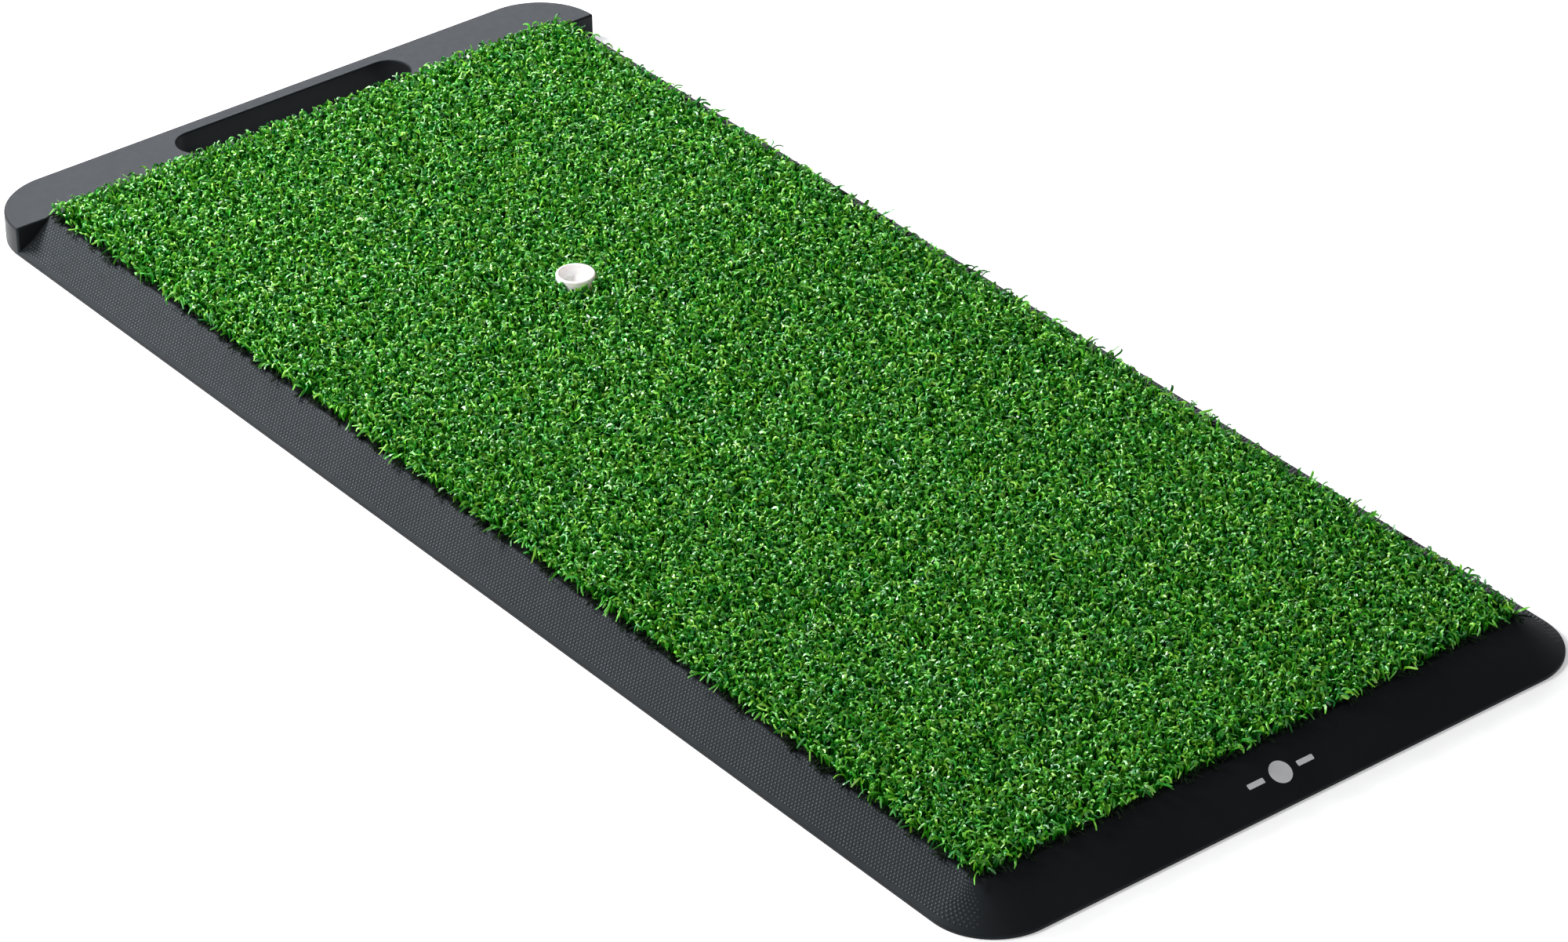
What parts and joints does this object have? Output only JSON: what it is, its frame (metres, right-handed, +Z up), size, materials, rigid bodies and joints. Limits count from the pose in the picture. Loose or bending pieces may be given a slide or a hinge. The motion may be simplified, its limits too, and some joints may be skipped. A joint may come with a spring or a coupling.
{
  "type": "golf hitting mat",
  "caption": "Portable golf hitting mat: a bevelled rubber base with a hand slot at its end, a panel of curled green turf and a push-through rubber tee.",
  "frame": {"origin": "on the floor, under the middle of the mat", "axes": "+X across the mat, +Y along its length towards the hand slot, +Z up through the turf"},
  "size_m": [0.35, 0.765, 0.026],
  "materials": {
    "base_rubber": "matte moulded, with a fine dotted tread on the long bevels",
    "adhesive": "dried glue film",
    "backing_latex": "matte latex coat",
    "turf_cloth": "plain-woven tape cloth",
    "turf_yarn": "curled semi-gloss fibres in mixed greens",
    "tee_rubber": "satin white rubber",
    "mark_ink": "flat white print"
  },
  "bodies": {
    "mat": {"rubber_base": "base_rubber", "turf_adhesive": "adhesive", "turf_backing": "backing_latex", "turf_primary_cloth": "turf_cloth", "turf_pile": "turf_yarn", "centre_mark_disc": "mark_ink", "centre_mark_bar_left": "mark_ink", "centre_mark_bar_right": "mark_ink"},
    "tee": {"rubber_tee": "tee_rubber"}
  },
  "joints": [
    {"name": "tee_slide", "type": "slide", "parent": "mat", "child": "tee", "axis": [0, 0, 1], "range_m": [-0.028, 0]}
  ]
}
